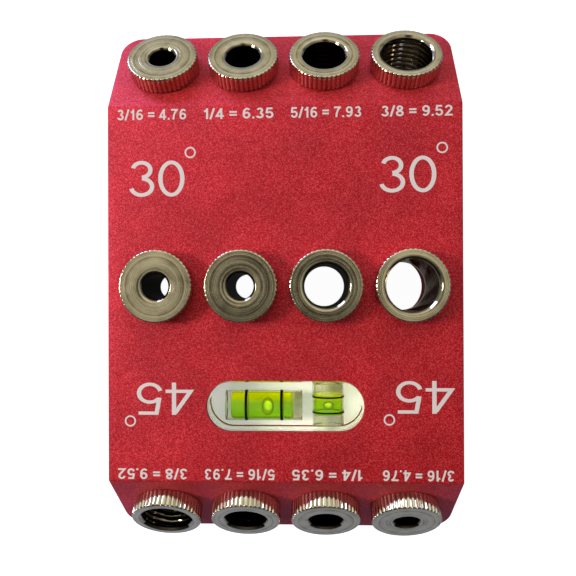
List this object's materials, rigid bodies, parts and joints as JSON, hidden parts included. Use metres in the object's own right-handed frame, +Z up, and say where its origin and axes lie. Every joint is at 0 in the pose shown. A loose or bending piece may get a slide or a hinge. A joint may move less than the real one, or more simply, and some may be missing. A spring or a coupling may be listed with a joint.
{
  "type": "angle drill guide",
  "caption": "Flat metal block with sloping ends that holds rows of knurled, screw-in drill bushes at upright and slanted angles, with a clear two-way spirit level let into its top.",
  "frame": {"origin": "centre of the block's underside", "axes": "+X along each row of bushes, +Y from the 45 degree end to the 30 degree end, +Z up out of the flat top"},
  "size_m": [0.066, 0.101, 0.0232],
  "materials": {
    "red_anodised_aluminium": "fine bead-blasted and anodised, satin",
    "nickel_plated_steel": "turned and nickel plated, with fine turning rings on its faces",
    "clear_acrylic": "clear and polished",
    "white_adhesive_pad": "matt white foam tape",
    "lime_liquid": "clear fluorescent liquid",
    "black_film": "matt black print",
    "bubble": "air in the liquid"
  },
  "bodies": {
    "block": {"guide_block": "red_anodised_aluminium", "level_housing": "clear_acrylic", "level_pad": "white_adhesive_pad", "long_vial": "clear_acrylic", "long_plug": "clear_acrylic", "long_liquid": "lime_liquid", "long_rings": "black_film", "cross_vial": "clear_acrylic", "cross_plugs": "clear_acrylic", "cross_liquid": "lime_liquid", "cross_rings": "black_film"},
    "bush_30_3_16_body": {"bush_30_3_16": "nickel_plated_steel"},
    "bush_30_1_4_body": {"bush_30_1_4": "nickel_plated_steel"},
    "bush_30_5_16_body": {"bush_30_5_16": "nickel_plated_steel"},
    "bush_30_3_8_body": {"bush_30_3_8": "nickel_plated_steel"},
    "bush_90_3_16_outer_body": {"bush_90_3_16_outer": "nickel_plated_steel"},
    "bush_90_3_16_inner_body": {"bush_90_3_16_inner": "nickel_plated_steel"},
    "bush_90_5_16_body": {"bush_90_5_16": "nickel_plated_steel"},
    "bush_90_3_8_body": {"bush_90_3_8": "nickel_plated_steel"},
    "bush_45_3_8_body": {"bush_45_3_8": "nickel_plated_steel"},
    "bush_45_5_16_body": {"bush_45_5_16": "nickel_plated_steel"},
    "bush_45_1_4_body": {"bush_45_1_4": "nickel_plated_steel"},
    "bush_45_3_16_body": {"bush_45_3_16": "nickel_plated_steel"},
    "long_bubble_body": {"long_bubble": "bubble"},
    "cross_bubble_body": {"cross_bubble": "bubble"}
  },
  "joints": [
    {"name": "unscrew_30_3_16", "type": "slide", "parent": "block", "child": "bush_30_3_16_body", "axis": [0, 0.5, 0.866], "range_m": [0, 0.012]},
    {"name": "unscrew_30_1_4", "type": "slide", "parent": "block", "child": "bush_30_1_4_body", "axis": [0, 0.5, 0.866], "range_m": [0, 0.012]},
    {"name": "unscrew_30_5_16", "type": "slide", "parent": "block", "child": "bush_30_5_16_body", "axis": [0, 0.5, 0.866], "range_m": [0, 0.012]},
    {"name": "unscrew_30_3_8", "type": "slide", "parent": "block", "child": "bush_30_3_8_body", "axis": [0, 0.5, 0.866], "range_m": [0, 0.012]},
    {"name": "unscrew_90_3_16_outer", "type": "slide", "parent": "block", "child": "bush_90_3_16_outer_body", "axis": [0, 0, 1], "range_m": [0, 0.012]},
    {"name": "unscrew_90_3_16_inner", "type": "slide", "parent": "block", "child": "bush_90_3_16_inner_body", "axis": [0, 0, 1], "range_m": [0, 0.012]},
    {"name": "unscrew_90_5_16", "type": "slide", "parent": "block", "child": "bush_90_5_16_body", "axis": [0, 0, 1], "range_m": [0, 0.012]},
    {"name": "unscrew_90_3_8", "type": "slide", "parent": "block", "child": "bush_90_3_8_body", "axis": [0, 0, 1], "range_m": [0, 0.012]},
    {"name": "unscrew_45_3_8", "type": "slide", "parent": "block", "child": "bush_45_3_8_body", "axis": [0, -0.7071, 0.7071], "range_m": [0, 0.012]},
    {"name": "unscrew_45_5_16", "type": "slide", "parent": "block", "child": "bush_45_5_16_body", "axis": [0, -0.7071, 0.7071], "range_m": [0, 0.012]},
    {"name": "unscrew_45_1_4", "type": "slide", "parent": "block", "child": "bush_45_1_4_body", "axis": [0, -0.7071, 0.7071], "range_m": [0, 0.012]},
    {"name": "unscrew_45_3_16", "type": "slide", "parent": "block", "child": "bush_45_3_16_body", "axis": [0, -0.7071, 0.7071], "range_m": [0, 0.012]},
    {"name": "long_bubble_run", "type": "slide", "parent": "block", "child": "long_bubble_body", "axis": [1, 0, 0], "range_m": [-0.0055, 0.0035]},
    {"name": "cross_bubble_run", "type": "slide", "parent": "block", "child": "cross_bubble_body", "axis": [0, 1, 0], "range_m": [-0.001, 0.001]}
  ]
}
